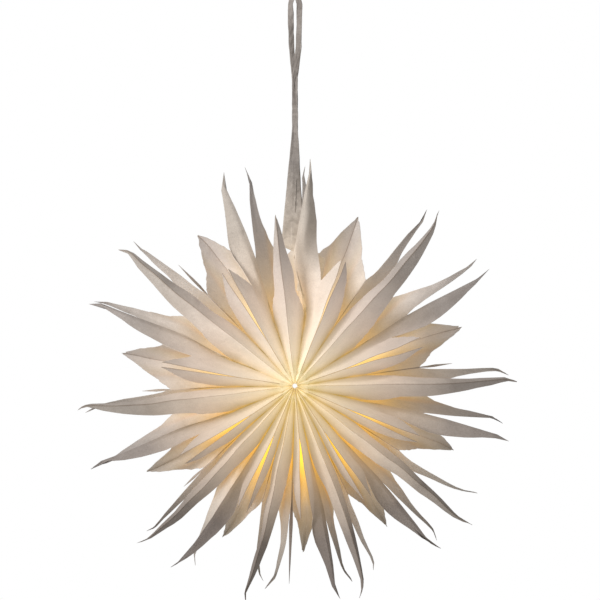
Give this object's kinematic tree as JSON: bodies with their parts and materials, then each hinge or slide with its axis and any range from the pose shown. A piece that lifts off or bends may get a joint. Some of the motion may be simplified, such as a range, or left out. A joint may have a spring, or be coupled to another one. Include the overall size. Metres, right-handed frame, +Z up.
{
  "type": "paper advent star",
  "caption": "Hanging star of opened paper bags glued into a fan, cut into broad points and long curled spikes, with a lamp cone behind and paper ribbons above.",
  "frame": {"origin": "top of the hanging loop, where the two ribbons meet", "axes": "+Z up along the hanger, the star faces -Y with its axis along Y, +X to the right as seen from the front"},
  "size_m": [0.5948, 0.1594, 0.8344],
  "materials": {
    "star_paper": "fibrous matte",
    "ribbon_paper": "crinkled matte"
  },
  "bodies": {
    "root": {"bag_01": "star_paper", "bag_02": "star_paper", "bag_03": "star_paper", "bag_04": "star_paper", "bag_05": "star_paper", "bag_06": "star_paper", "bag_07": "star_paper", "bag_08": "star_paper", "bag_09": "star_paper", "bag_10": "star_paper", "bag_11": "star_paper", "bag_12": "star_paper", "bag_13": "star_paper", "bag_14": "star_paper", "bag_15": "star_paper", "bag_16": "star_paper", "bag_17": "star_paper", "bag_18": "star_paper", "ribbon_left": "ribbon_paper", "ribbon_right": "ribbon_paper"}
  },
  "joints": []
}
